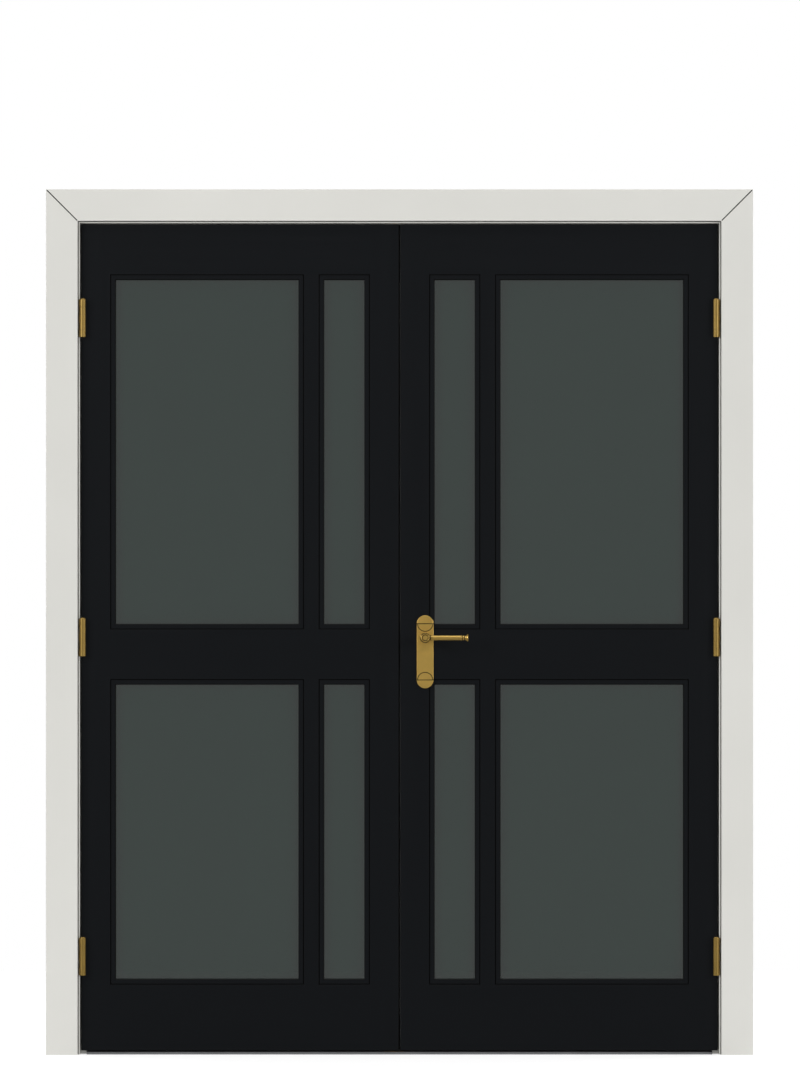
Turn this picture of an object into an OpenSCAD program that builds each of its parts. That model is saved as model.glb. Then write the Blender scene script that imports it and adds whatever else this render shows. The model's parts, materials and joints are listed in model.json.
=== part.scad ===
// French doors: two glazed timber leaves in a lined and cased frame.
//
// X runs along the doorway, Y goes through it from the hinge side to the stop side, Z is up.
// The origin is at floor level, in the middle of the doorway and of the jambs' depth.
// Both leaves open towards -Y. The right leaf carries the latch and its levers, and the left
// leaf is held by two flush bolts in its meeting edge.

/* [Leaves] */
// Width of one leaf
leaf_w = 762; // [700:1:850]
// Height of a leaf
leaf_h = 1981; // [1900:1:2100]
// Thickness of a leaf
leaf_t = 35; // [35:1:44]
// Face width of each stile
stile_w = 70; // [70:1:76]
// Height of the top rail
top_rail_h = 120; // [100:1:140]
// Height of the lock rail
lock_rail_h = 120; // [110:1:140]
// Height of the bottom rail
bottom_rail_h = 158; // [140:1:200]
// Face width of the upright bar between the wide and the narrow pane
muntin_w = 36; // [30:1:50]
// Width of the narrow panes beside the meeting stile
narrow_lite_w = 122; // [100:1:160]
// Length of the rails' tenons
tenon_l = 45; // [30:1:50]

/* [Glazing] */
// Width of the glazing beads
bead_w = 13; // [10:1:16]
// How far the beads lie back from the leaf's face
bead_setback = 2; // [1:0.5:4]
// Thickness of the glass
glass_t = 4; // [4:1:6]

/* [Frame] */
// Gap at each side of a leaf
side_gap = 3; // [2.5:0.5:4]
// Gap above the leaves
head_gap = 3; // [2:0.5:4]
// Gap from the floor to the leaves
floor_gap = 10; // [10:1:15]
// Thickness of the jambs
jamb_t = 32; // [28:1:40]
// Depth of the jambs, through the wall
jamb_depth = 132; // [120:1:160]
// How far a stop stands out from its jamb
stop_t = 16; // [12:1:20]
// Width of the stops
stop_w = 40; // [30:1:45]
// Face width of the casings
casing_w = 76; // [60:1:100]
// Thickness of the casings
casing_t = 18; // [14:1:20]
// Edge of the jamb left bare beside the casings
casing_reveal = 5; // [4:1:8]
// Height of the threshold
threshold_h = 7; // [6:0.5:7.5]
// Depth of the threshold
threshold_depth = 100; // [96:1:110]

/* [Hinges] */
// Length of a hinge
hinge_h = 90; // [80:1:110]
// Distance from a leaf's end to its nearer hinge
hinge_inset = 180; // [150:1:220]
// Outer radius of the knuckles
barrel_r = 7; // [6.5:0.5:7]
// Radius of the hinge pins
pin_r = 3.45; // [3:0.05:3.5]

/* [Handle] */
// Height of the levers' spindle above the floor
spindle_h = 1000; // [950:1:1050]
// Distance from the meeting edge to the spindle
backset = 60; // [60:0.5:61]
// Width of the back plates
backplate_w = 40; // [36:1:42]
// Height of the back plates
backplate_h = 175; // [170:1:190]
// Thickness of the back plates
backplate_t = 4; // [3:0.5:5]
// Length of a lever, from its spindle to its tip
lever_l = 103; // [98:1:120]
// Distance from the leaf's face to the middle of a lever's arm
lever_stand = 46; // [44:1:50]
// Radius of a lever's arm
arm_r = 6; // [5.5:0.5:6.5]

/* [Latch] */
// How far the latch stands out from the meeting edge
latch_throw = 9; // [8:0.5:9]
// Wire radius of the latch spring
spring_wire_r = 0.45; // [0.35:0.05:0.5]

/* [Flush bolts] */
// Radius of the bolt rods
bolt_r = 4; // [3.5:0.25:4]
// Length of the bolts' edge plates
bolt_plate_l = 150; // [145:1:170]
// Travel of the top bolt
top_travel = 14; // [11:0.5:14]

/* [Hidden] */

$fn = 64;
fit = 0.05;  // play of a running or sliding fit
over = 1;  // how far a cutter runs past the face that it cuts

frame_paint = "#d7d6d1";
leaf_paint = "#17181a";
glass = "#414745";
brass = "#997b3d";
steel = "#8d8f92";
threshold_metal = "#6f7072";
seal_pile = "#0c0c0d";

// Doorway
half_open = leaf_w + 1.5 * side_gap;
head_z = floor_gap + leaf_h + head_gap;
front_y = -jamb_depth / 2;
stop_y = front_y + leaf_t + 1;
half_outer = half_open + jamb_t;
casing_in = half_open + casing_reveal;
casing_out = casing_in + casing_w;
head_rebate = 10;
fixing_r = 4;
fixing_zs = [600, 1400];
fixing_ys = [-46, 40];

// Threshold, which lies between the side stops
threshold_half = half_open - stop_t;
threshold_front = front_y + 2;
threshold_chamfer = 2;
upstand_h = 7;
upstand_t = 8;
threshold_hole_r = 2.6;
threshold_hole_x = 620;
threshold_hole_ys = [-48, 28];
groove_w = 3;
groove_depth = 1.2;
groove_ys = [-12, -3, 6, 15];

// Leaf, in its own coordinates: u from the hinge edge, y from the front face, z from the foot
leaf_mid = leaf_t / 2;
spindle_z = spindle_h - floor_gap;
lock_rail_top = spindle_z + 20;
lock_rail_z = lock_rail_top - lock_rail_h;
top_rail_z = leaf_h - top_rail_h;
narrow_u = leaf_w - stile_w - narrow_lite_w;
muntin_u = narrow_u - muntin_w;
wide_lite_w = muntin_u - stile_w;
lower_lite_h = lock_rail_z - bottom_rail_h;
upper_lite_h = top_rail_z - lock_rail_top;
tenon_t = 12;
stub_l = 15;
stub_inset = 6;
UPPER_WIDE = [stile_w, lock_rail_top, wide_lite_w, upper_lite_h];
UPPER_NARROW = [narrow_u, lock_rail_top, narrow_lite_w, upper_lite_h];
LOWER_WIDE = [stile_w, bottom_rail_h, wide_lite_w, lower_lite_h];
LOWER_NARROW = [narrow_u, bottom_rail_h, narrow_lite_w, lower_lite_h];
LITES = [UPPER_WIDE, UPPER_NARROW, LOWER_WIDE, LOWER_NARROW];
// Each tenon's lowest and highest point, clear of the latch case on the lock rail
TOP_TENON = [top_rail_z + 15, leaf_h - 25];
LOCK_TENON = [lock_rail_z + 10, spindle_z - 20];
BOTTOM_TENON = [25, bottom_rail_h - 15];
bead_t = leaf_mid - glass_t / 2 - bead_setback;
pane_play = 2;
mitre_air = 0.1;

// Hinges: the axis lies in front of the leaf, beside the jamb's face
hinge_air = 0.5;
axis_x = -half_open + barrel_r;
axis_y = front_y - barrel_r - hinge_air;
plate_t = 2;
plate_d = 29;
knuckle_count = 5;
knuckle_h = hinge_h / knuckle_count;
knuckle_air = 0.1;
JAMB_KNUCKLES = [0, 2, 4];
LEAF_KNUCKLES = [1, 3];
pin_head_r = 6;
pin_head_h = 2;
hinge_zs = [
    hinge_inset + hinge_h / 2,
    leaf_h / 2,
    leaf_h - hinge_inset - hinge_h / 2,
];
// Screw places on a hinge plate: depth behind the leaf's face, and height from the middle
HINGE_SCREWS = [[20, -31], [10, 0], [20, 31]];
screw_r = 2;
screw_l = 24;
small_screw_r = 1.5;
small_screw_l = 18;

// Latch, in edge coordinates: s inward from the meeting edge, y from mid-thickness, z from the spindle
forend_t = 3;
forend_w = 22;
forend_h = 64;
edge_screw_z = 26;
case_end = 78;
case_half_t = 7;
case_half_h = 18;
case_wall = 1.7;
latch_half_t = 5;
latch_half_h = 7;
latch_back = 12;
rod_r = 2.5;
bridge_s = 34;
bridge_t = 2;
yoke_s = 36.6;
yoke_web = 2.6;
yoke_half_t = 2;
yoke_half_h = 16;
yoke_bar = 1.5;
hook_s = backset + 3.5;
hook_t = 3;
hook_low = 7.8;
follower_r = 7.5;
journal_r = 6.5;
cam_r = 14;
cam_half = 3;
spindle_w = 8;
spindle_in_lever = 26;
spindle_hole_r = journal_r + 1.5;
spring_turns = 8;
spring_r = 4.2;
spring_steps = 14;
spring_sides = 6;
strike_t = 2.5;
strike_pocket = 9;

// Back plates and levers
plate_round = backplate_w / 2;
plate_drop = 101.5;  // from the spindle down to the centre of the lower rounded end
plate_low = -plate_drop - plate_round;
plate_high = plate_low + backplate_h;
plate_bolt_zs = [plate_low + plate_round, plate_high - plate_round];
lever_journal_r = 9;
post_r = 4;
post_l = 14;
plate_bolt_l = leaf_t + backplate_t - 8;
line_w = 0.6;
line_depth = 0.4;
hub_r = 12.5;
hub_half = 11;
hub_shoulder_r = 11.5;
neck_r = 8.5;
hub_ring_r = 9;
hub_button_r = 5.5;

// Meeting seal, in edge coordinates
seal_y = 12.5;
seal_t = 3;
seal_depth = 2.5;
seal_taper = 0.6;
seal_clear = 1.35;  // what the passing corner of a leaf needs

// Flush bolts, in edge coordinates with z inward from the leaf's end
bolt_s = 12;
bolt_plate_w = 20;
bolt_plate_t = 2.5;
bolt_return = 24;
bolt_l = 118;
bolt_tip_in = 0.5;
thumb_z = 58;
thumb_l = 12;
thumb_half = 3.8;
return_screw_s = 20;
keep_l = 45;
keep_w = 20;
keep_t = 2;
keep_hole_r = 5;
keep_screw_x = 16;
keep_depth = 13;
floor_keep_screw_l = 4;
bolt_x = -side_gap / 2 - bolt_s;
leaf_mid_y = front_y + leaf_mid;

// ---- Helpers ----

// A box from its least corner to its greatest
module block(low, high) { translate(low) cube(high - low); }

// Turns a shape drawn up the Z axis to run along +X or +Y
module along_x() { rotate([0, 90, 0]) children(); }
module along_y() { rotate([-90, 0, 0]) children(); }

// A leaf's own coordinates, on each side of the doorway
module in_left_leaf() { translate([-half_open + side_gap, front_y, floor_gap]) children(); }
module in_right_leaf() { mirror([1, 0, 0]) in_left_leaf() children(); }

// Edge coordinates at a height on a leaf's meeting edge
module from_meeting_edge(z) {
    translate([leaf_w, leaf_mid, z]) mirror([1, 0, 0]) children();
}

// Edge coordinates with z running inward from a leaf's top or foot
module from_top_end() { from_meeting_edge(leaf_h) mirror([0, 0, 1]) children(); }
module from_foot_end() { from_meeting_edge(0) children(); }

// A countersunk wood screw, head at z = 0, driven along +Z
module screw(length, r) {
    difference() {
        union() {
            cylinder(h = r, r1 = 1.95 * r, r2 = r);
            translate([0, 0, r]) cylinder(h = length - 2.5 * r, r = r);
            translate([0, 0, length - 1.5 * r]) cylinder(h = 1.5 * r, r1 = r, r2 = 0.3);
        }
        block([-2 * r, -0.2 * r, -over], [2 * r, 0.2 * r, 0.3 * r]);
    }
}

// The hole that such a screw sits in
module screw_hole(length, r) {
    cylinder(h = r + fit, r1 = 1.95 * r + 2 * fit, r2 = r + fit);
    cylinder(h = length, r = r + fit);
}

// ---- Hinges, on the left side of the doorway ----

module at_hinges() {
    for (z = hinge_zs) translate([axis_x, axis_y, floor_gap + z]) children();
}

// Screw places of one hinge on a plate whose face is at x
module at_hinge_screws(x) {
    for (p = HINGE_SCREWS) translate([x, barrel_r + hinge_air + p[0], p[1]]) children();
}

module knuckles(which) {
    for (i = which)
        translate([0, 0, -hinge_h / 2 + i * knuckle_h + knuckle_air])
            cylinder(h = knuckle_h - 2 * knuckle_air, r = barrel_r);
}

// A strip from the barrel back to the plate, beside each of the plate's own knuckles
module knuckle_strips(which, x0, x1, y1) {
    for (i = which) {
        z0 = -hinge_h / 2 + i * knuckle_h + knuckle_air;
        block([x0, 0, z0], [x1, y1, z0 + knuckle_h - 2 * knuckle_air]);
    }
}

module hinge_plate(which, x) {
    y0 = barrel_r + hinge_air;
    block([x, y0, -hinge_h / 2], [x + plate_t, y0 + plate_d, hinge_h / 2]);
    knuckle_strips(which, x, x + plate_t, y0);
    knuckles(which);
}

module pin_bore() { cylinder(h = hinge_h + 2 * over, r = pin_r + fit, center = true); }

// The half let into the jamb, its strips cranked in to meet the barrel
module jamb_hinge_plate() {
    difference() {
        union() {
            hinge_plate(JAMB_KNUCKLES, -barrel_r - plate_t);
            knuckle_strips(JAMB_KNUCKLES, -barrel_r - plate_t, -barrel_r / 2 - 0.5, 2.5);
        }
        pin_bore();
        at_hinge_screws(-barrel_r) rotate([0, 180, 0]) along_x() screw_hole(screw_l, screw_r);
    }
}

// The half let into the leaf's edge
module leaf_hinge_plate() {
    difference() {
        hinge_plate(LEAF_KNUCKLES, -barrel_r + side_gap);
        pin_bore();
        at_hinge_screws(-barrel_r + side_gap) along_x() screw_hole(screw_l, screw_r);
    }
}

module hinge_pin() {
    translate([0, 0, -hinge_h / 2]) cylinder(h = hinge_h, r = pin_r);
    translate([0, 0, hinge_h / 2]) cylinder(h = pin_head_h, r1 = pin_head_r, r2 = pin_head_r - 1);
}

module both_sides() {
    children();
    mirror([1, 0, 0]) children();
}

module jamb_hinge_plates() { color(brass) both_sides() at_hinges() jamb_hinge_plate(); }
module hinge_pins() { color(brass) both_sides() at_hinges() hinge_pin(); }
module left_hinge_plates() { color(brass) at_hinges() leaf_hinge_plate(); }
module right_hinge_plates() { color(brass) mirror([1, 0, 0]) at_hinges() leaf_hinge_plate(); }

// ---- Frame ----

// Left jamb, let into the head at its top, with its hinge recesses and fixing holes
module jamb() {
    color(frame_paint) difference() {
        block([-half_outer, front_y, 0], [-half_open, -front_y, head_z + head_rebate]);
        at_hinges() block(
            [-barrel_r - plate_t, barrel_r + hinge_air - over, -hinge_h / 2],
            [-barrel_r + over, barrel_r + hinge_air + plate_d, hinge_h / 2]
        );
        at_hinges() at_hinge_screws(-barrel_r) rotate([0, 180, 0]) along_x() screw_hole(screw_l, screw_r);
        for (y = fixing_ys, z = fixing_zs) translate([-half_open, y, z]) rotate([0, 180, 0]) along_x() {
            cylinder(h = jamb_t + over, r = fixing_r);
            cylinder(h = fixing_r, r1 = 2 * fixing_r, r2 = fixing_r);
        }
    }
}

module left_jamb() { jamb(); }
module right_jamb() { mirror([1, 0, 0]) jamb(); }

module head_jamb() {
    color(frame_paint) difference() {
        block([-half_outer, front_y, head_z], [half_outer, -front_y, head_z + jamb_t]);
        both_sides() block(
            [-half_outer - over, front_y - over, head_z - over],
            [-half_open, -front_y + over, head_z + head_rebate]
        );
        at_head_keep() keep_recess(keep_depth, small_screw_l);
    }
}

module side_stop() {
    color(frame_paint) block([-half_open, stop_y, 0], [-threshold_half, stop_y + stop_w, head_z - stop_t]);
}

module left_stop() { side_stop(); }
module right_stop() { mirror([1, 0, 0]) side_stop(); }

module head_stop() {
    color(frame_paint)
        block([-half_open, stop_y, head_z - stop_t], [half_open, stop_y + stop_w, head_z]);
}

// A casing board standing in the XZ plane at depth y
module board(y, outline) {
    color(frame_paint)
        translate([0, y + casing_t, 0]) rotate([90, 0, 0]) linear_extrude(casing_t) polygon(outline);
}

casing_head_z = head_z + casing_reveal;
SIDE_CASING = [
    [-casing_out, 0], [-casing_in, 0], [-casing_in, casing_head_z],
    [-casing_out, casing_head_z + casing_w],
];
HEAD_CASING = [
    [-casing_in, casing_head_z], [casing_in, casing_head_z],
    [casing_out, casing_head_z + casing_w], [-casing_out, casing_head_z + casing_w],
];

module front_left_casing() { board(front_y - casing_t, SIDE_CASING); }
module front_right_casing() { mirror([1, 0, 0]) front_left_casing(); }
module front_head_casing() { board(front_y - casing_t, HEAD_CASING); }
module back_left_casing() { board(-front_y, SIDE_CASING); }
module back_right_casing() { mirror([1, 0, 0]) back_left_casing(); }
module back_head_casing() { board(-front_y, HEAD_CASING); }

// Its upstand is the stop at the leaves' feet
module threshold() {
    back = threshold_front + threshold_depth;
    outline = [
        [threshold_front, 0], [back, 0], [back, threshold_h - threshold_chamfer],
        [back - 3 * threshold_chamfer, threshold_h], [stop_y + upstand_t, threshold_h],
        [stop_y + upstand_t - 1, threshold_h + upstand_h], [stop_y, threshold_h + upstand_h],
        [stop_y, threshold_h], [threshold_front + 3 * threshold_chamfer, threshold_h],
        [threshold_front, threshold_h - threshold_chamfer],
    ];
    color(threshold_metal) difference() {
        translate([-threshold_half, 0, 0]) rotate([90, 0, 90])
            linear_extrude(2 * threshold_half) polygon(outline);
        for (y = groove_ys) block(
            [-threshold_half - over, y, threshold_h - groove_depth],
            [threshold_half + over, y + groove_w, threshold_h + over]
        );
        for (x = [-1, 1], y = threshold_hole_ys)
            translate([x * threshold_hole_x, y, threshold_h]) mirror([0, 0, 1]) {
                cylinder(h = threshold_h + over, r = threshold_hole_r);
                cylinder(h = threshold_hole_r, r1 = 2 * threshold_hole_r, r2 = threshold_hole_r);
            }
        at_floor_keep() keep_recess(threshold_h + over, floor_keep_screw_l);
    }
}

// ---- Keeps for the flush bolts, face at z = 0 and let in along +Z ----

module at_keep_screws() { for (x = [-1, 1]) translate([x * keep_screw_x, 0, 0]) children(); }

// What is cut away behind a keep, with the bolt's hole and the screws' to the given depths
module keep_recess(depth, screw_depth) {
    block([-keep_l / 2, -keep_w / 2, -over], [keep_l / 2, keep_w / 2, keep_t]);
    cylinder(h = depth, r = keep_hole_r);
    at_keep_screws() screw_hole(screw_depth, screw_r);
}

module keep() {
    difference() {
        block([-keep_l / 2, -keep_w / 2, 0], [keep_l / 2, keep_w / 2, keep_t]);
        translate([0, 0, -over]) cylinder(h = keep_t + 2 * over, r = keep_hole_r);
        at_keep_screws() screw_hole(keep_t + over, screw_r);
    }
}

module at_head_keep() { translate([bolt_x, leaf_mid_y, head_z]) children(); }
module at_floor_keep() { translate([bolt_x, leaf_mid_y, threshold_h]) mirror([0, 0, 1]) children(); }

module bolt_keeps() {
    color(brass) {
        at_head_keep() keep();
        at_floor_keep() keep();
    }
}

module frame_screws() {
    color(brass) {
        both_sides() at_hinges() at_hinge_screws(-barrel_r)
            rotate([0, 180, 0]) along_x() screw(screw_l, screw_r);
        at_head_keep() at_keep_screws() screw(small_screw_l, screw_r);
        at_floor_keep() at_keep_screws() cylinder(h = screw_r, r1 = 1.95 * screw_r, r2 = screw_r);
        at_floor_keep() at_keep_screws() cylinder(h = floor_keep_screw_l, r = screw_r);
    }
}

// ---- Timber of a leaf ----

// Tenon or mortise block between two u values
module tenon(u0, u1, zs) {
    block([u0, leaf_mid - tenon_t / 2, zs[0]], [u1, leaf_mid + tenon_t / 2, zs[1]]);
}

module mortises(u0, u1) { for (zs = [TOP_TENON, LOCK_TENON, BOTTOM_TENON]) tenon(u0, u1, zs); }

module hinge_stile() {
    color(leaf_paint) difference() {
        block([0, 0, 0], [stile_w, leaf_t, leaf_h]);
        mortises(stile_w - tenon_l, stile_w + over);
        for (z = hinge_zs) translate([0, 0, z]) {
            block([-over, -over, -hinge_h / 2], [plate_t, plate_d, hinge_h / 2]);
            for (p = HINGE_SCREWS) translate([0, p[0], p[1]]) along_x() screw_hole(screw_l, screw_r);
        }
    }
}

// The plain meeting stile, before its ironmongery is let in
module meeting_stile() {
    difference() {
        block([leaf_w - stile_w, 0, 0], [leaf_w, leaf_t, leaf_h]);
        mortises(leaf_w - stile_w - over, leaf_w - stile_w + tenon_l);
    }
}

// Rail from z0 to z1 with a tenon at each end and a mortise for each upright bar's stub
module rail(z0, z1, tenon_zs, stubs) {
    difference() {
        union() {
            block([stile_w, 0, z0], [leaf_w - stile_w, leaf_t, z1]);
            tenon(stile_w - tenon_l, leaf_w - stile_w + tenon_l, tenon_zs);
        }
        for (zs = stubs) stub(zs);
    }
}

module stub(zs) { tenon(muntin_u + stub_inset, narrow_u - stub_inset, zs); }

module top_rail() {
    color(leaf_paint) rail(top_rail_z, leaf_h, TOP_TENON, [[top_rail_z - over, top_rail_z + stub_l]]);
}

module lock_rail() {
    rail(
        lock_rail_z, lock_rail_top, LOCK_TENON,
        [[lock_rail_z - over, lock_rail_z + stub_l], [lock_rail_top - stub_l, lock_rail_top + over]]
    );
}

module bottom_rail() {
    color(leaf_paint)
        rail(0, bottom_rail_h, BOTTOM_TENON, [[bottom_rail_h - stub_l, bottom_rail_h + over]]);
}

module muntin(z0, z1) {
    block([muntin_u, 0, z0], [narrow_u, leaf_t, z1]);
    stub([z0 - stub_l, z1 + stub_l]);
}

module muntins() {
    color(leaf_paint) {
        muntin(lock_rail_top, top_rail_z);
        muntin(bottom_rail_h, lock_rail_z);
    }
}

// ---- Glazing ----

module pane(lite) {
    color(glass) translate([lite[0] + pane_play, leaf_mid - glass_t / 2, lite[1] + pane_play])
        cube([lite[2] - 2 * pane_play, glass_t, lite[3] - 2 * pane_play]);
}

// One bead strip of a given length lying along +X, mitred at both ends
module bead_strip(length) {
    end = length - mitre_air;
    rotate([90, 0, 0]) linear_extrude(bead_t)
        polygon([[mitre_air, 0], [end, 0], [end - bead_w, bead_w], [mitre_air + bead_w, bead_w]]);
}

// The four strips around each pane, their back at depth y
module beads(y) {
    color(leaf_paint) for (lite = LITES) translate([lite[0], y, lite[1]]) {
        bead_strip(lite[2]);
        translate([lite[2], 0, lite[3]]) rotate([0, 180, 0]) bead_strip(lite[2]);
        translate([lite[2], 0, 0]) rotate([0, -90, 0]) bead_strip(lite[3]);
        translate([0, 0, lite[3]]) rotate([0, 90, 0]) bead_strip(lite[3]);
    }
}

module front_beads() { beads(bead_setback + bead_t); }
module back_beads() { beads(leaf_t - bead_setback); }

// ---- Left leaf ----

module left_hinge_stile() { in_left_leaf() hinge_stile(); }
module left_top_rail() { in_left_leaf() top_rail(); }
module left_lock_rail() { color(leaf_paint) in_left_leaf() lock_rail(); }
module left_bottom_rail() { in_left_leaf() bottom_rail(); }
module left_muntins() { in_left_leaf() muntins(); }
module left_upper_wide_pane() { in_left_leaf() pane(UPPER_WIDE); }
module left_upper_narrow_pane() { in_left_leaf() pane(UPPER_NARROW); }
module left_lower_wide_pane() { in_left_leaf() pane(LOWER_WIDE); }
module left_lower_narrow_pane() { in_left_leaf() pane(LOWER_NARROW); }
module left_front_beads() { in_left_leaf() front_beads(); }
module left_back_beads() { in_left_leaf() back_beads(); }

module left_meeting_stile() {
    color(leaf_paint) in_left_leaf() difference() {
        meeting_stile();
        from_meeting_edge(spindle_z) {
            block([-over, -forend_w / 2, -forend_h / 2], [strike_t, forend_w / 2, forend_h / 2]);
            strike_opening(strike_pocket);
            at_edge_screws() screw_hole(small_screw_l, screw_r);
        }
        from_top_end() bolt_recess();
        from_foot_end() bolt_recess();
        from_meeting_edge(0)
            block([-over, seal_y, -over], [seal_depth, seal_y + seal_t, leaf_h + over]);
    }
}

// Brush strip let into the edge near its back, drawn as far as its pile stays stiff
module meeting_seal() {
    tip = side_gap - seal_clear;
    outline = [
        [seal_depth, seal_y], [seal_depth, seal_y + seal_t], [0, seal_y + seal_t],
        [-tip, seal_y + seal_t - seal_taper], [-tip, seal_y + seal_taper], [0, seal_y],
    ];
    color(seal_pile) in_left_leaf() from_meeting_edge(0) linear_extrude(leaf_h) polygon(outline);
}

// Screw places at the ends of the latch's forend and of its strike
module at_edge_screws() { for (z = [-1, 1]) translate([0, 0, z * edge_screw_z]) along_x() children(); }

module strike_opening(depth) {
    play = 0.5;
    block(
        [-over, -latch_half_t - play, -latch_half_h - play],
        [depth, latch_half_t + play, latch_half_h + play]
    );
}

module strike_plate() {
    color(brass) in_left_leaf() from_meeting_edge(spindle_z) difference() {
        block([0, -forend_w / 2, -forend_h / 2], [strike_t, forend_w / 2, forend_h / 2]);
        strike_opening(strike_t + over);
        at_edge_screws() screw_hole(strike_t + over, screw_r);
    }
}

// ---- Flush bolts ----

// The edge plate and its return over the leaf's end
module bolt_plate_blank() {
    block([0, -bolt_plate_w / 2, 0], [bolt_plate_t, bolt_plate_w / 2, bolt_plate_l]);
    block([0, -bolt_plate_w / 2, 0], [bolt_return, bolt_plate_w / 2, bolt_plate_t]);
}

module at_bolt_screws() {
    translate([0, 0, bolt_plate_l - 12]) along_x() children();
    translate([return_screw_s, 0, 0]) children();
}

// Slot for the thumb piece, to a depth s
module thumb_slot(s) {
    play = 0.5;
    block(
        [-over, -thumb_half - play, thumb_z - top_travel - play],
        [s, thumb_half + play, thumb_z + thumb_l + play]
    );
}

module bolt_plate() {
    difference() {
        bolt_plate_blank();
        thumb_slot(bolt_plate_t + over);
        translate([bolt_s, 0, -over]) cylinder(h = bolt_plate_t + 2 * over, r = bolt_r + fit);
        at_bolt_screws() screw_hole(bolt_plate_t + over, small_screw_r);
    }
}

module bolt_recess() {
    bolt_plate_blank();
    translate([-over, 0, -over]) bolt_plate_blank();
    thumb_slot(bolt_s);
    translate([bolt_s, 0, 0]) cylinder(h = bolt_l + 2 * over, r = bolt_r + 6 * fit);
    at_bolt_screws() screw_hole(small_screw_l, small_screw_r);
}

// Rod with its thumb piece, withdrawn
module bolt() {
    color(brass) {
        translate([bolt_s, 0, bolt_tip_in]) cylinder(h = 1, r1 = bolt_r - 1, r2 = bolt_r);
        translate([bolt_s, 0, bolt_tip_in + 1]) cylinder(h = bolt_l - bolt_tip_in - 1, r = bolt_r);
        difference() {
            block([0.8, -thumb_half, thumb_z], [bolt_s, thumb_half, thumb_z + thumb_l]);
            for (i = [1 : 4]) block(
                [0, -thumb_half - over, thumb_z + i * thumb_l / 5 - 0.3],
                [1.3, thumb_half + over, thumb_z + i * thumb_l / 5 + 0.3]
            );
        }
    }
}

module flush_bolt_plates() {
    color(brass) in_left_leaf() {
        from_top_end() bolt_plate();
        from_foot_end() bolt_plate();
    }
}

module top_bolt() { in_left_leaf() from_top_end() bolt(); }
module bottom_bolt() { in_left_leaf() from_foot_end() bolt(); }

module left_leaf_screws() {
    color(brass) {
        at_hinges() at_hinge_screws(-barrel_r + side_gap) along_x() screw(screw_l, screw_r);
        in_left_leaf() {
            from_meeting_edge(spindle_z) at_edge_screws() screw(small_screw_l, screw_r);
            from_top_end() at_bolt_screws() screw(small_screw_l, small_screw_r);
            from_foot_end() at_bolt_screws() screw(small_screw_l, small_screw_r);
        }
    }
}

// ---- Right leaf ----

module right_hinge_stile() { in_right_leaf() hinge_stile(); }
module right_top_rail() { in_right_leaf() top_rail(); }
module right_bottom_rail() { in_right_leaf() bottom_rail(); }
module right_muntins() { in_right_leaf() muntins(); }
module right_upper_wide_pane() { in_right_leaf() pane(UPPER_WIDE); }
module right_upper_narrow_pane() { in_right_leaf() pane(UPPER_NARROW); }
module right_lower_wide_pane() { in_right_leaf() pane(LOWER_WIDE); }
module right_lower_narrow_pane() { in_right_leaf() pane(LOWER_NARROW); }
module right_front_beads() { in_right_leaf() front_beads(); }
module right_back_beads() { in_right_leaf() back_beads(); }

// Mortise for the latch, with holes for the spindle and the back plates' bolts
module latch_mortise() {
    play = 0.2;
    block([-over, -forend_w / 2, -forend_h / 2], [forend_t, forend_w / 2, forend_h / 2]);
    block(
        [0, -case_half_t - play, -case_half_h - play],
        [case_end + play, case_half_t + play, case_half_h + play]
    );
    at_edge_screws() screw_hole(small_screw_l, screw_r);
    translate([backset, -leaf_t, 0]) along_y() cylinder(h = 2 * leaf_t, r = spindle_hole_r);
    for (z = plate_bolt_zs) translate([backset, 0, z]) {
        translate([0, -leaf_t, 0]) along_y() cylinder(h = 2 * leaf_t, r = screw_r + 0.5);
        translate([0, -leaf_t, 0]) along_y() cylinder(h = leaf_t / 2 + post_l + over, r = post_r + 0.2);
    }
}

module right_meeting_stile() {
    color(leaf_paint) in_right_leaf() difference() {
        meeting_stile();
        from_meeting_edge(spindle_z) latch_mortise();
    }
}

module right_lock_rail() {
    color(leaf_paint) in_right_leaf() difference() {
        lock_rail();
        from_meeting_edge(spindle_z) latch_mortise();
    }
}

// Places parts in the latch's coordinates
module at_latch() { in_right_leaf() from_meeting_edge(spindle_z) children(); }

module latch_case() {
    inner_t = case_half_t - case_wall;
    inner_h = case_half_h - case_wall;
    play = 0.1;
    color(steel) at_latch() difference() {
        union() {
            block([0, -forend_w / 2, -forend_h / 2], [forend_t, forend_w / 2, forend_h / 2]);
            difference() {
                block([0, -case_half_t, -case_half_h], [case_end, case_half_t, case_half_h]);
                block([forend_t, -inner_t, -inner_h], [case_end - case_wall, inner_t, inner_h]);
                translate([backset, -case_half_t - over, 0]) along_y()
                    cylinder(h = 2 * (case_half_t + over), r = journal_r + fit);
            }
            block([bridge_s, -inner_t, -inner_h], [bridge_s + bridge_t, inner_t, inner_h]);
        }
        block(
            [-over, -latch_half_t - play, -latch_half_h - play],
            [forend_t + over, latch_half_t + play, latch_half_h + play]
        );
        translate([bridge_s - over, 0, 0]) along_x() cylinder(h = bridge_t + 2 * over, r = rod_r + 0.2);
        at_edge_screws() screw_hole(forend_t + over, screw_r);
    }
}

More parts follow.
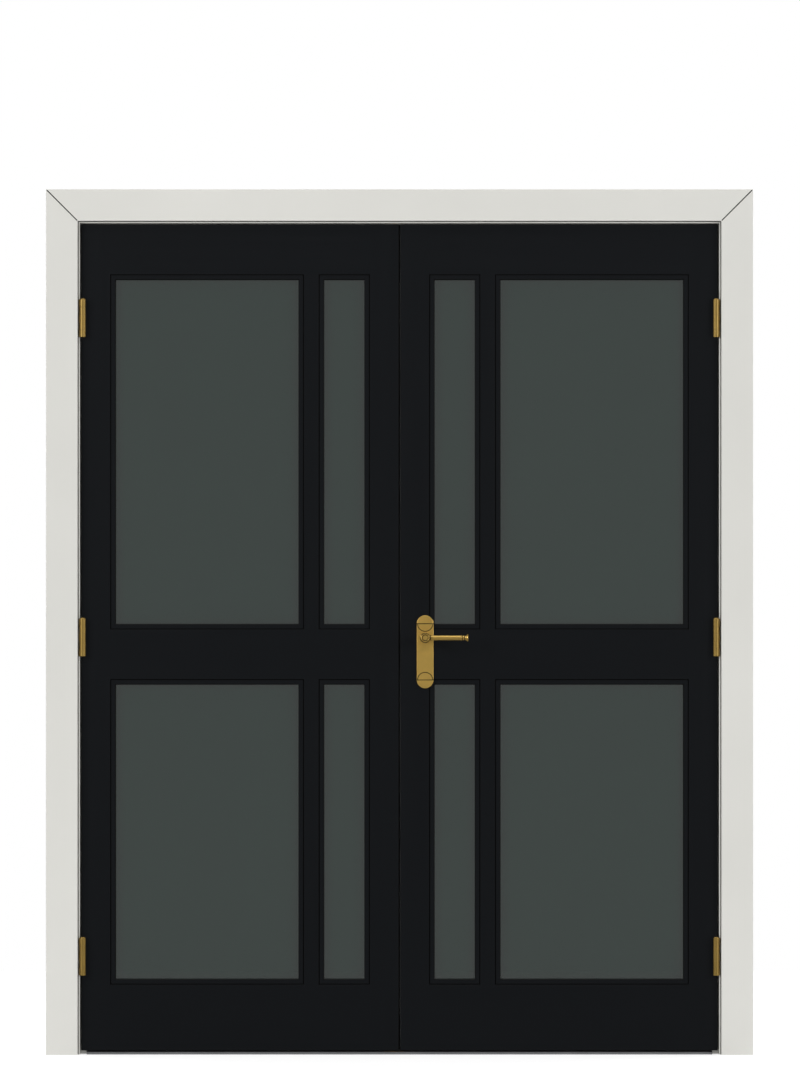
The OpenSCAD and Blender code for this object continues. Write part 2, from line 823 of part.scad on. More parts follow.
// Latch head, bevelled on the side that meets the strike, with its rod and the yoke around the hub
module latch_bolt() {
    head = [
        [latch_back, -latch_half_t], [-latch_throw, -latch_half_t], [-latch_throw, 1.5 - latch_half_t],
        [-0.5, latch_half_t], [latch_back, latch_half_t],
    ];
    yoke_end = hook_s + hook_t;
    color(steel) at_latch() {
        translate([0, 0, -latch_half_h]) linear_extrude(2 * latch_half_h) polygon(head);
        translate([latch_back - over, 0, 0]) along_x()
            cylinder(h = yoke_s - latch_back + 2 * over, r = rod_r);
        block([yoke_s, -yoke_half_t, -yoke_half_h], [yoke_s + yoke_web, yoke_half_t, yoke_half_h]);
        for (side = [0, 1]) mirror([0, 0, side]) {
            block(
                [yoke_s, -yoke_half_t, yoke_half_h - yoke_bar],
                [yoke_end, yoke_half_t, yoke_half_h]
            );
            block([hook_s, -yoke_half_t, hook_low], [yoke_end, yoke_half_t, yoke_half_h]);
        }
    }
}

// Points of a closed ring around the spring's wire at a fraction t of its length
spring_l = bridge_s - latch_back - 2 * spring_wire_r - 0.2;
function spring_ring(t) = [
    for (j = [0 : spring_sides - 1])
        let (
            turn = 360 * spring_turns * t,
            around = 360 * j / spring_sides,
            r = spring_r + spring_wire_r * cos(around)
        )
        [t * spring_l + spring_wire_r * sin(around), r * cos(turn), r * sin(turn)]
];

module latch_spring() {
    rings = spring_turns * spring_steps;
    points = [for (i = [0 : rings]) each spring_ring(i / rings)];
    n = spring_sides;
    sides = [
        for (i = [0 : rings - 1], j = [0 : n - 1])
            let (a = i * n + j, b = i * n + (j + 1) % n)
            each [[a, a + n, b], [b, a + n, b + n]]
    ];
    first_end = [for (j = [0 : n - 1]) j];
    last_end = [for (j = [n - 1 : -1 : 0]) rings * n + j];
    color(steel) at_latch() translate([latch_back + spring_wire_r + 0.1, 0, 0])
        polyhedron(points, concat(sides, [first_end, last_end]));
}

// Square cutter or bar along Y through the spindle's place
module square_bar(w, y0, y1) { block([backset - w / 2, y0, -w / 2], [backset + w / 2, y1, w / 2]); }

module latch_follower() {
    hub_half_t = case_half_t - case_wall - 2 * fit;
    color(steel) at_latch() difference() {
        translate([backset, 0, 0]) along_y() {
            cylinder(h = 2 * hub_half_t, r = follower_r, center = true);
            cylinder(h = 2 * (case_half_t - fit), r = journal_r, center = true);
            intersection() {
                cylinder(h = 2 * cam_half, r = cam_r, center = true);
                cube([2 * cam_half, 2 * cam_r, 2 * cam_half], center = true);
            }
        }
        square_bar(spindle_w + 2 * fit, -leaf_t, leaf_t);
    }
}

module spindle() {
    end = leaf_mid + spindle_in_lever;
    color(steel) at_latch() square_bar(spindle_w, -end, end);
}

// ---- Back plates, lying in the XY plane with +Y up the leaf and +Z away from its face ----

// Tall plate with rounded ends, as exact solids
module plate_body() {
    translate([-plate_round, plate_bolt_zs[0], 0])
        cube([backplate_w, plate_bolt_zs[1] - plate_bolt_zs[0], backplate_t]);
    for (z = plate_bolt_zs) translate([0, z, 0]) cylinder(h = backplate_t, r = plate_round);
}

// Engraved ring that closes each rounded end, and the line across it
module plate_lines() {
    for (z = plate_bolt_zs) translate([0, z, backplate_t - line_depth]) {
        difference() {
            cylinder(h = line_depth + over, r = plate_round - line_w);
            translate([0, 0, -over]) cylinder(h = line_depth + 3 * over, r = plate_round - 2 * line_w);
        }
        translate([-plate_round - over, -line_w / 2, 0])
            cube([backplate_w + 2 * over, line_w, line_depth + over]);
    }
}

module lever_hole() {
    translate([0, 0, -over]) cylinder(h = backplate_t + 2 * over, r = lever_journal_r + fit);
}

// The back plate that faces the viewer has threaded posts and no screw heads
module front_backplate() {
    color(brass) on_front() difference() {
        union() {
            plate_body();
            for (z = plate_bolt_zs) translate([0, z, -post_l]) cylinder(h = post_l + over, r = post_r);
        }
        plate_lines();
        lever_hole();
        for (z = plate_bolt_zs) translate([0, z, -post_l - over])
            cylinder(h = post_l + over + 1, r = screw_r + fit);
    }
}

module back_backplate() {
    color(brass) on_back() difference() {
        plate_body();
        plate_lines();
        lever_hole();
        for (z = plate_bolt_zs) translate([0, z, backplate_t]) mirror([0, 0, 1])
            screw_hole(backplate_t + over, screw_r);
    }
}

// Plate coordinates on the leaf's front and back faces
module out_of_face() { translate([backset, -leaf_mid, 0]) rotate([90, 0, 0]) children(); }
module on_front() { at_latch() out_of_face() children(); }
module on_back() { at_latch() mirror([0, 1, 0]) out_of_face() children(); }

// ---- Levers, in plate coordinates ----

module lever() {
    shoulder = backplate_t + 0.2;
    hub_top = lever_stand + hub_half;
    hub = [
        [0, 0], [lever_journal_r, 0], [lever_journal_r, shoulder], [hub_shoulder_r, shoulder],
        [hub_shoulder_r, shoulder + 2.5], [neck_r, shoulder + 5.5], [neck_r, lever_stand - hub_half - 3],
        [hub_r, lever_stand - hub_half], [hub_r, hub_top - 1], [hub_r - 1, hub_top],
        [hub_button_r + 0.8, hub_top], [hub_button_r + 0.8, hub_top - 0.6],
        [hub_button_r, hub_top - 0.6], [hub_button_r, hub_top + 0.5], [0, hub_top + 1],
    ];
    collar = lever_l - 17;
    flare = lever_l - 7;
    arm = [
        [0, 0], [arm_r, 0], [arm_r, collar], [arm_r + 1.2, collar + 0.6], [arm_r + 1.2, collar + 2.6],
        [arm_r - 0.4, collar + 3.2], [arm_r - 0.2, flare - 3], [arm_r + 1.4, flare],
        [arm_r + 2.6, flare + 1], [arm_r + 3, flare + 3], [arm_r + 3, lever_l - 2],
        [arm_r + 2, lever_l - 0.5], [arm_r + 0.5, lever_l], [0, lever_l],
    ];
    groove_r = hub_ring_r + line_w / 2;
    socket_w = spindle_w + 2 * fit;
    socket_end = spindle_in_lever + 0.5;
    color(brass) difference() {
        union() {
            rotate_extrude() polygon(hub);
            translate([0, 0, lever_stand]) along_x() rotate_extrude() polygon(arm);
        }
        translate([0, 0, hub_top - line_depth]) difference() {
            cylinder(h = line_depth + over, r = groove_r);
            translate([0, 0, -over]) cylinder(h = line_depth + 3 * over, r = groove_r - line_w);
        }
        block([-socket_w / 2, -socket_w / 2, -over], [socket_w / 2, socket_w / 2, socket_end]);
    }
}

module front_lever() { on_front() lever(); }
module back_lever() { on_back() lever(); }

module right_leaf_screws() {
    color(brass) {
        mirror([1, 0, 0]) at_hinges() at_hinge_screws(-barrel_r + side_gap)
            along_x() screw(screw_l, screw_r);
        at_latch() at_edge_screws() screw(small_screw_l, screw_r);
        on_back() for (z = plate_bolt_zs) translate([0, z, backplate_t]) mirror([0, 0, 1])
            screw(plate_bolt_l, screw_r);
    }
}

left_jamb();
right_jamb();
head_jamb();
left_stop();
right_stop();
head_stop();
front_left_casing();
front_right_casing();
front_head_casing();
back_left_casing();
back_right_casing();
back_head_casing();
threshold();
bolt_keeps();
jamb_hinge_plates();
hinge_pins();
frame_screws();
left_hinge_stile();
left_meeting_stile();
left_top_rail();
left_lock_rail();
left_bottom_rail();
left_muntins();
meeting_seal();
left_upper_wide_pane();
left_upper_narrow_pane();
left_lower_wide_pane();
left_lower_narrow_pane();
left_front_beads();
left_back_beads();
left_hinge_plates();
strike_plate();
flush_bolt_plates();
left_leaf_screws();
top_bolt();
bottom_bolt();
right_hinge_stile();
right_meeting_stile();
right_top_rail();
right_lock_rail();
right_bottom_rail();
right_muntins();
right_upper_wide_pane();
right_upper_narrow_pane();
right_lower_wide_pane();
right_lower_narrow_pane();
right_front_beads();
right_back_beads();
right_hinge_plates();
latch_case();
front_backplate();
back_backplate();
right_leaf_screws();
front_lever();
back_lever();
spindle();
latch_follower();
latch_bolt();
latch_spring();
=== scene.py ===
"""Looks of the french doors: painted timber, smoked glass, brass furniture and a grey threshold."""

import json
import math

import bmesh
import bpy
from mathutils import Matrix, Vector, noise


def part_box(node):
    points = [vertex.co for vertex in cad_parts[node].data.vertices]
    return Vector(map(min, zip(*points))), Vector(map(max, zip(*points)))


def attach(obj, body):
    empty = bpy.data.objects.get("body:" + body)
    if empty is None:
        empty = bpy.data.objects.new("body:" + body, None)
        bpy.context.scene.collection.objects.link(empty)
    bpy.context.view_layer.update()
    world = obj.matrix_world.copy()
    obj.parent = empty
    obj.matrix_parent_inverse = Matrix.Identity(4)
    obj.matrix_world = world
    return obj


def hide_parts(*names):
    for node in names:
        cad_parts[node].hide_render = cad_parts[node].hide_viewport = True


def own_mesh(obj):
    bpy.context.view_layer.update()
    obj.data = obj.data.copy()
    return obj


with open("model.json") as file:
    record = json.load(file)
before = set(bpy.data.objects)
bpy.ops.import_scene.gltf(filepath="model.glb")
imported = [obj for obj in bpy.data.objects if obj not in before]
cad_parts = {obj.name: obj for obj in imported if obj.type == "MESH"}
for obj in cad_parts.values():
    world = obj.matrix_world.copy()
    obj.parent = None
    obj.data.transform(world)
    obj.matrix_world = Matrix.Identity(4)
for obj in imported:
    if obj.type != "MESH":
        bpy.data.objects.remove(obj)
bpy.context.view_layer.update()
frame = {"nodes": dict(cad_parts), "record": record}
nodes = frame["nodes"]

MM = 0.001

# Two places nearer than this are one place, and two corners nearer than MERGE are one corner.
NEAR = 0.05 * MM
MERGE = 0.001 * MM

LEAF_EASE = 1.2 * MM
FRAME_EASE = 1.6 * MM
METAL_EASE = 0.35 * MM
TURN_STEPS = 72
HALF_TURN_STEPS = 36

# Angles between neighbouring faces, in degrees.
ONE_PLANE = 0.3
CORNER_FROM = 30
SHARP_FROM = 40
METAL_CORNER_FROM = 60

# How nearly the normal of a face that looks to the front or the back lies along Y.
FLAT_ON = 0.99

# Marks that faces carry: one darkens engraved lines in the brass, the other paints seams, grooves and
# eased edges in the paint near black and matt, painted shade for the shadow in them.
ENGRAVED = "engraved"
SHADE_LINES = "joint"


# ---- Shader nodes ----

class Value:
    """A shader socket that carries a number, with the arithmetic that the finishes use."""

    def __init__(self, wiring, socket):
        self.wiring = wiring
        self.socket = socket

    def maths(self, operation, *terms):
        inputs = {i: term for i, term in enumerate(terms)}
        return self.wiring.value("ShaderNodeMath", {"operation": operation}, inputs)

    def __add__(self, other):
        return self.maths("ADD", self, other)

    def __radd__(self, other):
        return self.maths("ADD", other, self)

    def __sub__(self, other):
        return self.maths("SUBTRACT", self, other)

    def __rsub__(self, other):
        return self.maths("SUBTRACT", other, self)

    def __mul__(self, other):
        return self.maths("MULTIPLY", self, other)

    def __rmul__(self, other):
        return self.maths("MULTIPLY", other, self)


class Wiring:
    """A node tree under construction."""

    def __init__(self, tree):
        self.tree = tree

    def node(self, kind, settings=None, inputs=None):
        """A node of this kind, with its settings made first and then its sockets set or linked."""
        made = self.tree.nodes.new(kind)
        for name, value in (settings or {}).items():
            setattr(made, name, value)
        for name, value in (inputs or {}).items():
            self.feed(made.inputs[name], value)
        return made

    def feed(self, socket, value):
        if isinstance(value, Value):
            value = value.socket
        if isinstance(value, bpy.types.NodeSocket):
            self.tree.links.new(value, socket)
        else:
            socket.default_value = value

    def value(self, kind, settings=None, inputs=None, output=0):
        return Value(self, self.node(kind, settings, inputs).outputs[output])


class Finish(Wiring):
    """A material under construction: one Principled shader and the nodes that feed it."""

    def __init__(self, name, **constants):
        self.material = bpy.data.materials.new(name)
        self.material.use_nodes = True
        super().__init__(self.material.node_tree)
        self.shader = self.tree.nodes["Principled BSDF"]
        for socket, value in constants.items():
            self.feed(self.shader.inputs[socket.replace("_", " ")], value)

    def mark(self, name):
        """A number that some faces of a piece carry, and nought on every other piece."""
        return self.value("ShaderNodeAttribute", {"attribute_name": name}, output=2)

    def place(self, scale):
        """Object coordinates in metres, multiplied axis by axis."""
        coordinates = self.node("ShaderNodeTexCoord").outputs["Object"]
        return self.node("ShaderNodeMapping", inputs={"Vector": coordinates, "Scale": scale}).outputs[0]

    def noise(self, scale, detail=2.0, roughness=0.5):
        """Noise with this many cells to the metre along each axis."""
        inputs = {"Vector": self.place(scale), "Scale": 1.0, "Detail": detail, "Roughness": roughness}
        return self.value("ShaderNodeTexNoise", inputs=inputs)

    def between(self, low, high, factor):
        """A colour that runs from low to high with the factor."""
        low, high = (c if isinstance(c, bpy.types.NodeSocket) else (*c, 1) for c in (low, high))
        inputs = {0: factor, 6: low, 7: high}
        return self.node("ShaderNodeMix", {"data_type": "RGBA"}, inputs).outputs[2]

    def bump(self, height, distance):
        inputs = {"Height": height, "Distance": distance, "Strength": 1.0}
        self.feed(self.shader.inputs["Normal"], self.node("ShaderNodeBump", inputs=inputs).outputs[0])

    def colour(self, colour):
        self.feed(self.shader.inputs["Base Color"], colour)

    def roughness(self, value):
        self.feed(self.shader.inputs["Roughness"], value)


def shade(colour, factor):
    return tuple(factor * c for c in colour)


def streak_scale(along, length, width):
    """Cells to the metre for marks of this length along one axis and this width across it."""
    return tuple(1 / length if axis == along else 1 / width for axis in "XYZ")


# ---- Finishes ----

FRAME_WHITE = (0.684, 0.678, 0.64)
LEAF_BLACK = (0.0016, 0.0025, 0.0038)
# Painted shade: the near black, matt finish of seams, grooves and eased edges, standing in for the shadow
# in them.
SHADE_LINE_COLOUR = (0.0003, 0.0003, 0.0003)
GLASS_TINT = (0.004, 0.017, 0.012)
SHADE_LINE_ROUGHNESS = 0.95
BRASS = (0.66, 0.43, 0.105)
BRASS_DARK = (0.004, 0.003, 0.002)


def painted(name, colour, along, gloss, brush_depth):
    """Satin paint brushed along a timber, over the faint swell of the grain, and painted near black and
    matt on marked seams, grooves and eased edges: painted shade.
    """
    finish = Finish(name, IOR=1.45)
    brush = finish.noise(streak_scale(along, length=160 * MM, width=1.6 * MM), detail=3)
    grain = finish.noise(streak_scale(along, length=900 * MM, width=12 * MM), detail=4, roughness=0.6)
    stipple = finish.noise((700, 700, 700))
    cloud = finish.noise((3, 3, 3), detail=3)
    # Painted shade: faces with the mark turn near black and matt.
    joint = finish.mark(SHADE_LINES)
    paint = finish.between(shade(colour, 0.95), shade(colour, 1.05), cloud)
    finish.colour(finish.between(paint, SHADE_LINE_COLOUR, joint))
    surface = gloss + 0.08 * (brush - 0.5) + 0.06 * (grain - 0.5)
    finish.roughness(surface + (SHADE_LINE_ROUGHNESS - gloss) * joint)
    finish.bump(0.5 * brush + 0.35 * grain + 0.15 * stipple, brush_depth)
    return finish.material


def smoked_glass():
    """Dark grey-green glass: each face stops most of the light, and the pair lets a twentieth through."""
    finish = Finish("smoked_glass", Alpha=0.79, IOR=1.5)
    film = finish.noise((6, 6, 6), detail=3)
    finish.colour(finish.between(shade(GLASS_TINT, 0.9), shade(GLASS_TINT, 1.1), film))
    finish.roughness(0.03 + 0.03 * film)
    return finish.material


def satin_brass(name, along, tone=1.0, gloss=0.36):
    """Lacquered brass with fine brushing along one axis and a little darkening in patches. The tone makes
    a copy lighter or darker as a whole: painted light and painted shade for how the lamps fall on each
    part.
    """
    finish = Finish(name, Metallic=0.72, Coat_Weight=0.12, Coat_Roughness=0.2)
    brushing = finish.noise(streak_scale(along, length=30 * MM, width=0.25 * MM), detail=2)
    patches = finish.noise((45, 45, 45), detail=4, roughness=0.6)
    bright = finish.between(shade(BRASS, 0.84 * tone), shade(BRASS, 1.08 * tone), patches)
    engraved = finish.mark(ENGRAVED)
    finish.colour(finish.between(bright, BRASS_DARK, engraved))
    finish.roughness(gloss + 0.12 * (brushing - 0.5) + 0.08 * (patches - 0.5) + 0.3 * engraved)
    finish.bump(brushing, 0.03 * MM)
    return finish.material


def brushed_steel(name, dull, bright):
    """Steel whose brushing runs level and varies between two greys."""
    finish = Finish(name, Metallic=0.9)
    brushing = finish.noise(streak_scale("X", length=20 * MM, width=0.4 * MM), detail=2)
    finish.colour(finish.between(dull, bright, brushing))
    finish.roughness(0.34 + 0.1 * brushing)
    return finish.material


def anodised_aluminium():
    """Grey threshold metal, with the drawn lines of an extrusion along its length."""
    finish = Finish("anodised_aluminium", Metallic=0.55)
    drawn = finish.noise(streak_scale("X", length=500 * MM, width=0.8 * MM), detail=2)
    scuffs = finish.noise((14, 60, 60), detail=4, roughness=0.65)
    finish.colour(finish.between((0.22, 0.223, 0.23), (0.32, 0.324, 0.332), scuffs))
    finish.roughness(0.42 + 0.1 * (drawn - 0.5) + 0.12 * (scuffs - 0.5))
    finish.bump(drawn, 0.05 * MM)
    return finish.material


FRAME_PAINT = {"colour": FRAME_WHITE, "gloss": 0.42, "brush_depth": 0.22 * MM}
LEAF_PAINT = {"colour": LEAF_BLACK, "gloss": 0.36, "brush_depth": 0.15 * MM}

frame_upright = painted("frame_paint_upright", along="Z", **FRAME_PAINT)
frame_level = painted("frame_paint_level", along="X", **FRAME_PAINT)
leaf_upright = painted("leaf_paint_upright", along="Z", **LEAF_PAINT)
leaf_level = painted("leaf_paint_level", along="X", **LEAF_PAINT)
glass = smoked_glass()
# One brass in three tones: the plates and bolts get it a quarter lighter, painted light for how the lamps
# fall on flat parts.
brass_upright_painted_light = satin_brass("satin_brass_upright_painted_light", "Z", tone=1.25)
brass_level = satin_brass("satin_brass_level", "X", tone=0.95)
# Painted shade: the hinges' brass is about half as bright and duller, to hold down the highlights on
# their knuckles.
brass_hinge_painted_shade = satin_brass("satin_brass_hinge_painted_shade", "Z", tone=0.55, gloss=0.5)
steel = brushed_steel("plated_steel", dull=(0.42, 0.42, 0.44), bright=(0.56, 0.56, 0.58))
# Painted shade: near black steel for the latch bolt, so that where it crosses the gap between the leaves
# it reads as the gap's shadow.
steel_painted_shade = brushed_steel("near_black_steel_painted_shade", dull=(0.008, 0.008, 0.009), bright=(0.014, 0.014, 0.015))
threshold_metal = anodised_aluminium()


# ---- Pieces made from the construction's own shapes ----

def merged_copy(node):
    """A bmesh of a node's shape with its triangles joined into whole flat faces."""
    bm = bmesh.new()
    bm.from_mesh(nodes[node].data)
    bm.faces.layers.float.new(SHADE_LINES)
    bmesh.ops.remove_doubles(bm, verts=bm.verts, dist=MERGE)
    bmesh.ops.dissolve_limit(bm, angle_limit=math.radians(ONE_PLANE), verts=bm.verts, edges=bm.edges)
    for face in bm.faces:
        face.smooth = False
    return bm


def cut(bm, point, normal):
    """Divides the faces that a plane crosses, and removes nothing."""
    everything = bm.verts[:] + bm.edges[:] + bm.faces[:]
    bmesh.ops.bisect_plane(bm, geom=everything, dist=NEAR / 10, plane_co=point, plane_no=normal)


def is_corner(edge):
    """True where two faces meet at a real outward corner."""
    return len(edge.link_faces) == 2 and edge.calc_face_angle_signed(0.0) > math.radians(CORNER_FROM)


def ease(bm, chosen, width, segments=3, mark=None):
    """Rounds the corners that pass the test, and gives the new faces a mark if one is named."""
    edges = [e for e in bm.edges if is_corner(e) and chosen(e)]
    rounded = bmesh.ops.bevel(
        bm, geom=edges, offset=width, offset_type="OFFSET", affect="EDGES",
        segments=segments, profile=0.5, material=-1, clamp_overlap=False,
    )["faces"]
    for face in rounded:
        face.smooth = True
    if mark:
        set_mark(bm, rounded, mark)


def set_mark(bm, faces, name):
    layer = bm.faces.layers.float[name]
    for face in faces:
        face[layer] = 1.0


def middle(edge):
    return (edge.verts[0].co + edge.verts[1].co) / 2


def placed(name, data):
    """An object in the scene for this mesh, light or camera."""
    made = bpy.data.objects.new(name, data)
    bpy.context.scene.collection.objects.link(made)
    return made


def as_object(bm, name):
    mesh = bpy.data.meshes.new(name)
    bm.to_mesh(mesh)
    bm.free()
    return placed(name, mesh)


def finished(bm, name, body, material, smooth=True):
    """Makes the bmesh a piece that rides on a body and has a finish. A piece that isn't smooth all
    over keeps its flats flat, and only the faces already set smooth, its rounded ones, are smooth."""
    for face in bm.faces:
        face.smooth = face.smooth or smooth
    for edge in bm.edges:
        edge.smooth = edge.calc_face_angle(math.pi) < math.radians(SHARP_FROM)
    piece = as_object(bm, name)
    stale_normals = piece.data.attributes.get("custom_normal")
    if stale_normals:
        piece.data.attributes.remove(stale_normals)
    if smooth:
        piece.modifiers.new("true_flats", "WEIGHTED_NORMAL").keep_sharp = True
    piece.data.materials.append(material)
    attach(piece, body)
    return piece


# ---- Leaves ----

MEMBERS = {
    "hinge_stile": leaf_upright,
    "meeting_stile": leaf_upright,
    "muntins": leaf_upright,
    "top_rail": leaf_level,
    "lock_rail": leaf_level,
    "bottom_rail": leaf_level,
}
PANES = ("upper_wide_pane", "upper_narrow_pane", "lower_wide_pane", "lower_narrow_pane")
PANE_PLAY = 2 * MM
BEAD_WIDTH = 13 * MM
LITE_EASE = 0.6 * MM
QUIRK_WIDTH = 1.4 * MM
QUIRK_DEPTH = 5 * MM
BEAD_EASE = 0.5 * MM


def lite(side, pane):
    """The opening in the timber around a pane: low and high corners."""
    low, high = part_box(f"{side}_{pane}")
    play = Vector((PANE_PLAY, 0, PANE_PLAY))
    return low - play, high + play


def on_outline(point, low, high):
    """True on the edge of a rectangle seen from the front."""
    def inside(axis):
        return low[axis] - NEAR < point[axis] < high[axis] + NEAR

    def on_side(axis):
        return min(abs(point[axis] - low[axis]), abs(point[axis] - high[axis])) < NEAR

    return (on_side(0) and inside(2)) or (on_side(2) and inside(0))


def leaf_outline(side):
    """Low and high corners of a whole leaf."""
    low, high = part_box(f"{side}_hinge_stile")
    other_low, other_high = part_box(f"{side}_meeting_stile")
    return Vector(map(min, low, other_low)), Vector(map(max, high, other_high))


def leaf_timber(side):
    """The stiles, rails and muntins, eased round the leaf and its openings and flush at their joints."""
    outline = leaf_outline(side)
    faces_y = (outline[0].y, outline[1].y)
    openings = [lite(side, pane) for pane in PANES]

    def arris(edge, shapes):
        point = middle(edge)
        on_a_face = min(abs(point.y - y) for y in faces_y) < NEAR
        return on_a_face and any(on_outline(point, *shape) for shape in shapes)

    for member, material in MEMBERS.items():
        bm = merged_copy(f"{side}_{member}")
        for low, high in openings:
            for corner in (low, high):
                cut(bm, corner, (1, 0, 0))
                cut(bm, corner, (0, 0, 1))
        # Both sets of eased edges get painted shade: near black and matt, so they show no highlight.
        ease(bm, lambda edge: arris(edge, openings), LITE_EASE, mark=SHADE_LINES)
        ease(bm, lambda edge: arris(edge, [outline]), LEAF_EASE, mark=SHADE_LINES)
        name = f"{side}_{member}_timber"
        piece = finished(bm, name, f"{side}_leaf", material, smooth=False)
        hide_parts(f"{side}_{member}")


def rectangle(bm, low, high, y):
    """A face in the XZ plane at depth y."""
    made = bmesh.ops.create_grid(
        bm, x_segments=1, y_segments=1, size=0.5, matrix=Matrix.Rotation(math.pi / 2, 4, "X")
    )["verts"]
    size = Vector((high.x - low.x, 1, high.z - low.z))
    centre = Vector(((low.x + high.x) / 2, y, (low.z + high.z) / 2))
    bmesh.ops.scale(bm, verts=made, vec=size)
    bmesh.ops.translate(bm, verts=made, vec=centre)
    return made[0].link_faces[0]


def bead_ring(bm, low, high, y_glass, y_face):
    """A ring of bead round one opening, from the glass out to just behind the leaf's face, with a
    deep quirk between it and the timber and another between it and the glass, whose faces are painted
    near black: painted shade."""
    face = rectangle(bm, low, high, y_glass)
    ring = bmesh.ops.inset_individual(
        bm, faces=[face], thickness=BEAD_WIDTH, use_even_offset=True
    )["faces"]
    bmesh.ops.delete(bm, geom=[face], context="FACES_ONLY")
    height = y_face - y_glass
    front = raise_faces(bm, ring, (0, height - math.copysign(QUIRK_DEPTH, height), 0))
    bmesh.ops.recalc_face_normals(bm, faces=bm.faces)
    quirks = bmesh.ops.inset_region(
        bm, faces=front, thickness=QUIRK_WIDTH, depth=QUIRK_DEPTH, use_even_offset=True
    )["faces"]
    # The quirks' faces get painted shade, near black on top of the shadow the grooves cast.
    set_mark(bm, quirks, SHADE_LINES)


def raise_faces(bm, faces, shift):
    """Makes these faces the base of a solid, and returns the faces raised from them."""
    raised = bmesh.ops.extrude_face_region(bm, geom=faces, use_keep_orig=True)["geom"]
    bmesh.ops.translate(bm, verts=[v for v in raised if isinstance(v, bmesh.types.BMVert)], vec=shift)
    return [f for f in raised if isinstance(f, bmesh.types.BMFace)]


def on_face(edge, y):
    return all(abs(vert.co.y - y) < NEAR for vert in edge.verts)


def leaf_beads(side):
    """The painted beads, whose mitres are filled, on both faces of a leaf."""
    for where in ("front", "back"):
        node = f"{side}_{where}_beads"
        low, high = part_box(node)
        y_face, y_glass = (low.y, high.y) if where == "front" else (high.y, low.y)
        bm = bmesh.new()
        bm.faces.layers.float.new(SHADE_LINES)
        for pane in PANES:
            bead_ring(bm, *lite(side, pane), y_glass, y_face)
        # The beads' front edges get painted shade: near black and matt.
        ease(bm, lambda edge: on_face(edge, y_face), BEAD_EASE, mark=SHADE_LINES)
        name = f"{node}_rings"
        piece = finished(bm, name, f"{side}_leaf", leaf_upright, smooth=False)
        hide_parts(node)


# ---- Frame ----

FRAME_PIECES = {
    "left_jamb": frame_upright,
    "right_jamb": frame_upright,
    "head_jamb": frame_level,
    "left_stop": frame_upright,
    "right_stop": frame_upright,
    "head_stop": frame_level,
    "front_left_casing": frame_upright,
    "front_right_casing": frame_upright,
    "front_head_casing": frame_level,
    "back_left_casing": frame_upright,
    "back_right_casing": frame_upright,
    "back_head_casing": frame_level,
}
LONG_SHARE = 0.3
MITRE_EASE = 1.3 * MM
MITRE_SLACK = 2 * MM
MITRE_LEAST = 20 * MM
CASING_LINE = 1.8 * MM


def frame_timber():
    """Jambs, stops and casings, with their long corners and mitres eased."""
    for node, material in FRAME_PIECES.items():
        bm = merged_copy(node)
        low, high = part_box(node)
        long_side = LONG_SHARE * max(high - low)
        width = FRAME_EASE if "casing" in node else LEAF_EASE

        def long_corner(edge, limit=long_side):
            return edge.calc_length() > limit and abs(edge.verts[0].co.y - edge.verts[1].co.y) < NEAR

        ease(bm, long_corner, width)
        if "casing" in node:
            # The mitres are eased into a V that gets painted shade: near black, for the shadow of a
            # hairline gap.
            ease(bm, is_mitre, MITRE_EASE, segments=2, mark=SHADE_LINES)
        if "jamb" in node:
            draw_casing_line(bm)
        piece = finished(bm, f"{node}_timber", "frame", material, smooth=False)
        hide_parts(node)


def draw_casing_line(bm):
    """Paints a narrow strip of the jamb's face near black where the casings lie on its edge: painted
    shade for the shadow along the casings.
    """
    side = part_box("front_right_casing")[0].x
    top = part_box("front_head_casing")[0].z
    for x, z in ((side, top), (side - CASING_LINE, top - CASING_LINE)):
        cut(bm, (x, 0, 0), (1, 0, 0))
        cut(bm, (-x, 0, 0), (1, 0, 0))
        cut(bm, (0, 0, z), (0, 0, 1))
    for face in bm.faces:
        point = face.calc_center_median()
        within = abs(point.x) < side and point.z < top
        clear = abs(point.x) < side - CASING_LINE and point.z < top - CASING_LINE
        if abs(face.normal.y) > FLAT_ON and within and not clear:
            set_mark(bm, [face], SHADE_LINES)


def is_mitre(edge):
    """True for a slanting edge on the face of a casing."""
    run = edge.verts[1].co - edge.verts[0].co
    slants = abs(abs(run.x) - abs(run.z)) < MITRE_SLACK
    return slants and abs(run.y) < NEAR and run.length > MITRE_LEAST


# ---- Ironmongery ----

def plain_metal(node, body, material):
    """A metal part with its sharp corners broken."""
    bm = merged_copy(node)
    least = math.radians(METAL_CORNER_FROM)
    ease(bm, lambda edge: edge.calc_face_angle(0) > least, METAL_EASE, segments=2)
    piece = finished(bm, f"{node}_metal", body, material)
    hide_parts(node)


def dress(node, material):
    """Gives a construction node a finish without changing it."""
    mesh = nodes[node].data
    mesh.materials.clear()
    mesh.materials.append(material)


def arc(centre, radius, start, end, steps):
    """Points of a circular arc in a profile or an outline, angles in degrees from its first axis."""
    angles = [math.radians(start + (end - start) * i / steps) for i in range(steps + 1)]
    return [(centre[0] + radius * math.cos(a), centre[1] + radius * math.sin(a)) for a in angles]


